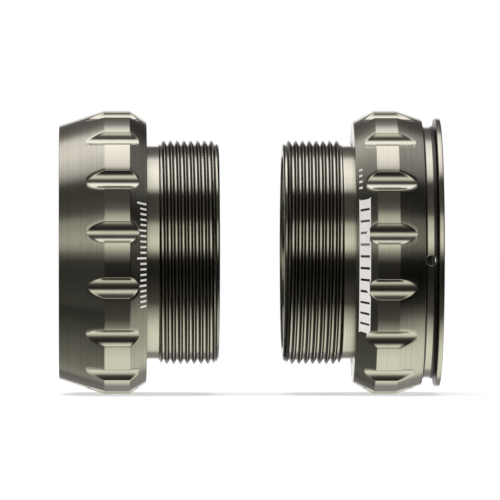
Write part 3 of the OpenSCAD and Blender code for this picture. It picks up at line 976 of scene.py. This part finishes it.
# Dark below the panel, then the white card underneath.
lower = add_node(tree, "ShaderNodeValToRGB", inputs={"Fac": steep}, stops=height_stops([
    (0, 0.6, PLAIN), (4, 0.3, WARM), (8, 0.05, WARM), (22, 0.03, WARM), (33, 0.06, WARM),
    (50, 0.12, WARM), (57, 0.15, WARM), (64, 0.5, PLAIN), (75, 1.0, PLAIN), (82, 1.3, PLAIN),
    (97, 1.6, PLAIN), (115, 1.55, PLAIN), (130, 1.35, PLAIN), (135, 1.1, PLAIN), (139, 0.5, WARM),
    (150, 0.42, WARM), (164, 0.3, WARM), (170, 1.0, PLAIN), (180, 1.0, PLAIN)
]))
# How far the box, the card and the panel reach to the sides.
box_spread = add_node(tree, "ShaderNodeValToRGB", inputs={"Fac": sideways}, stops=slope_stops([
    (-1.2, 0.05), (-0.8, 0.12), (-0.65, 0.19), (-0.52, 0.5), (-0.42, 0.68), (0.0, 1.0),
    (0.42, 0.23), (0.75, 0.1)
]))
card_spread = add_node(tree, "ShaderNodeValToRGB", inputs={"Fac": sideways}, stops=slope_stops([
    (-1.43, 0.01), (-0.68, 0.03), (-0.45, 0.06), (-0.29, 0.2), (-0.1, 0.85), (0.0, 1.0),
    (0.42, 0.9), (0.75, 0.62), (0.9, 0.45)
]))
panel_spread = add_node(tree, "ShaderNodeValToRGB", inputs={"Fac": sideways}, stops=slope_stops([
    (-1.43, 0.2), (-0.73, 0.34), (0.0, 1.0), (0.76, 0.12), (2.2, 0.03)
]))
# A faint fill that comes from the left alone.
side_fill = add_node(tree, "ShaderNodeValToRGB", inputs={"Fac": sideways}, stops=slope_stops([
    (-1.43, 0.02), (-0.73, 0.07), (-0.3, 0.01), (0.0, 0.0)
]))

# A Mix node's colours go in at sockets 6 and 7 and come out at output 2.
WHITE = (1.0, 1.0, 1.0, 1.0)
mix = {"data_type": "RGBA", "blend_type": "MIX", "clamp_factor": False}
multiply = {**mix, "blend_type": "MULTIPLY"}
add = {**mix, "blend_type": "ADD"}
upper_spread = add_node(tree, "ShaderNodeMix", mix, {"Factor": over, 6: panel_spread, 7: box_spread})
lower_spread = add_node(tree, "ShaderNodeMix", mix, {"Factor": over, 6: panel_spread, 7: card_spread})
upper_light = add_node(
    tree, "ShaderNodeMix", multiply, {"Factor": 1.0, 6: upper, 7: upper_spread.outputs[2]}
)
lower_light = add_node(
    tree, "ShaderNodeMix", multiply, {"Factor": 1.0, 6: lower, 7: lower_spread.outputs[2]}
)
room = add_node(
    tree, "ShaderNodeMix", mix, {"Factor": above, 6: lower_light.outputs[2], 7: upper_light.outputs[2]}
)
room = add_node(tree, "ShaderNodeMix", add, {"Factor": 1.0, 6: room.outputs[2], 7: side_fill})
# Grey walls close the room past the ends of the axle, and the white backdrop stands behind.
end_on = add_node(tree, "ShaderNodeMath", {"operation": "ABSOLUTE"}, {0: x})
ends = add_node(
    tree, "ShaderNodeMapRange", {"interpolation_type": "SMOOTHSTEP"},
    {"Value": end_on, "From Min": 0.955, "From Max": 0.99, "To Min": 0.0, "To Max": 1.0}
)
room = add_node(
    tree, "ShaderNodeMix", mix, {"Factor": ends, 6: room.outputs[2], 7: (0.8, 0.78, 0.76, 1.0)}
)
behind = add_node(
    tree, "ShaderNodeMapRange", {"interpolation_type": "SMOOTHSTEP"},
    {"Value": y, "From Min": 0.93, "From Max": 0.97, "To Min": 0.0, "To Max": 1.0}
)
room = add_node(tree, "ShaderNodeMix", mix, {"Factor": behind, 6: room.outputs[2], 7: WHITE})
# The white backdrop shows everywhere to the camera and through glass, and in metal where it stands.
rays = add_node(tree, "ShaderNodeLightPath").outputs
straight = add_node(
    tree, "ShaderNodeMath", {"operation": "MAXIMUM"},
    {0: rays["Is Camera Ray"], 1: rays["Is Transmission Ray"]}
)
glossy = add_node(tree, "ShaderNodeMath", {"operation": "MULTIPLY"}, {0: rays["Is Glossy Ray"], 1: behind})
seen = add_node(tree, "ShaderNodeMath", {"operation": "MAXIMUM"}, {0: straight, 1: glossy})
room = add_node(tree, "ShaderNodeMix", mix, {"Factor": seen, 6: room.outputs[2], 7: WHITE})
light = add_node(tree, "ShaderNodeBackground", inputs={"Color": room.outputs[2], "Strength": 1.0})
tree.links.new(light.outputs[0], output.inputs["Surface"])

lamp_data = bpy.data.lights.new("soft_box", "AREA")
lamp_data.shape = "RECTANGLE"
lamp_data.size = 0.5
lamp_data.size_y = 0.4
lamp_data.energy = 1.2
lamp = bpy.data.objects.new("soft_box", lamp_data)
lamp.location = (-0.1, -0.05, 0.6)
lamp.visible_glossy = False
lamp.visible_camera = False
bpy.context.collection.objects.link(lamp)

camera_data = bpy.data.cameras.new("camera")
camera_data.sensor_width = 36.0
camera_data.lens = 16 * camera_data.sensor_width
camera_data.clip_start = 0.01
camera = bpy.data.objects.new("camera", camera_data)
bpy.context.collection.objects.link(camera)
CAMERA_DISTANCE = 1.242
camera.location = (-0.02547, -CAMERA_DISTANCE, 0.000365)
camera.rotation_euler = (math.pi / 2, 0, -math.atan2(0.0256, CAMERA_DISTANCE))
bpy.context.scene.camera = camera
bpy.context.scene.view_settings.view_transform = "Standard"
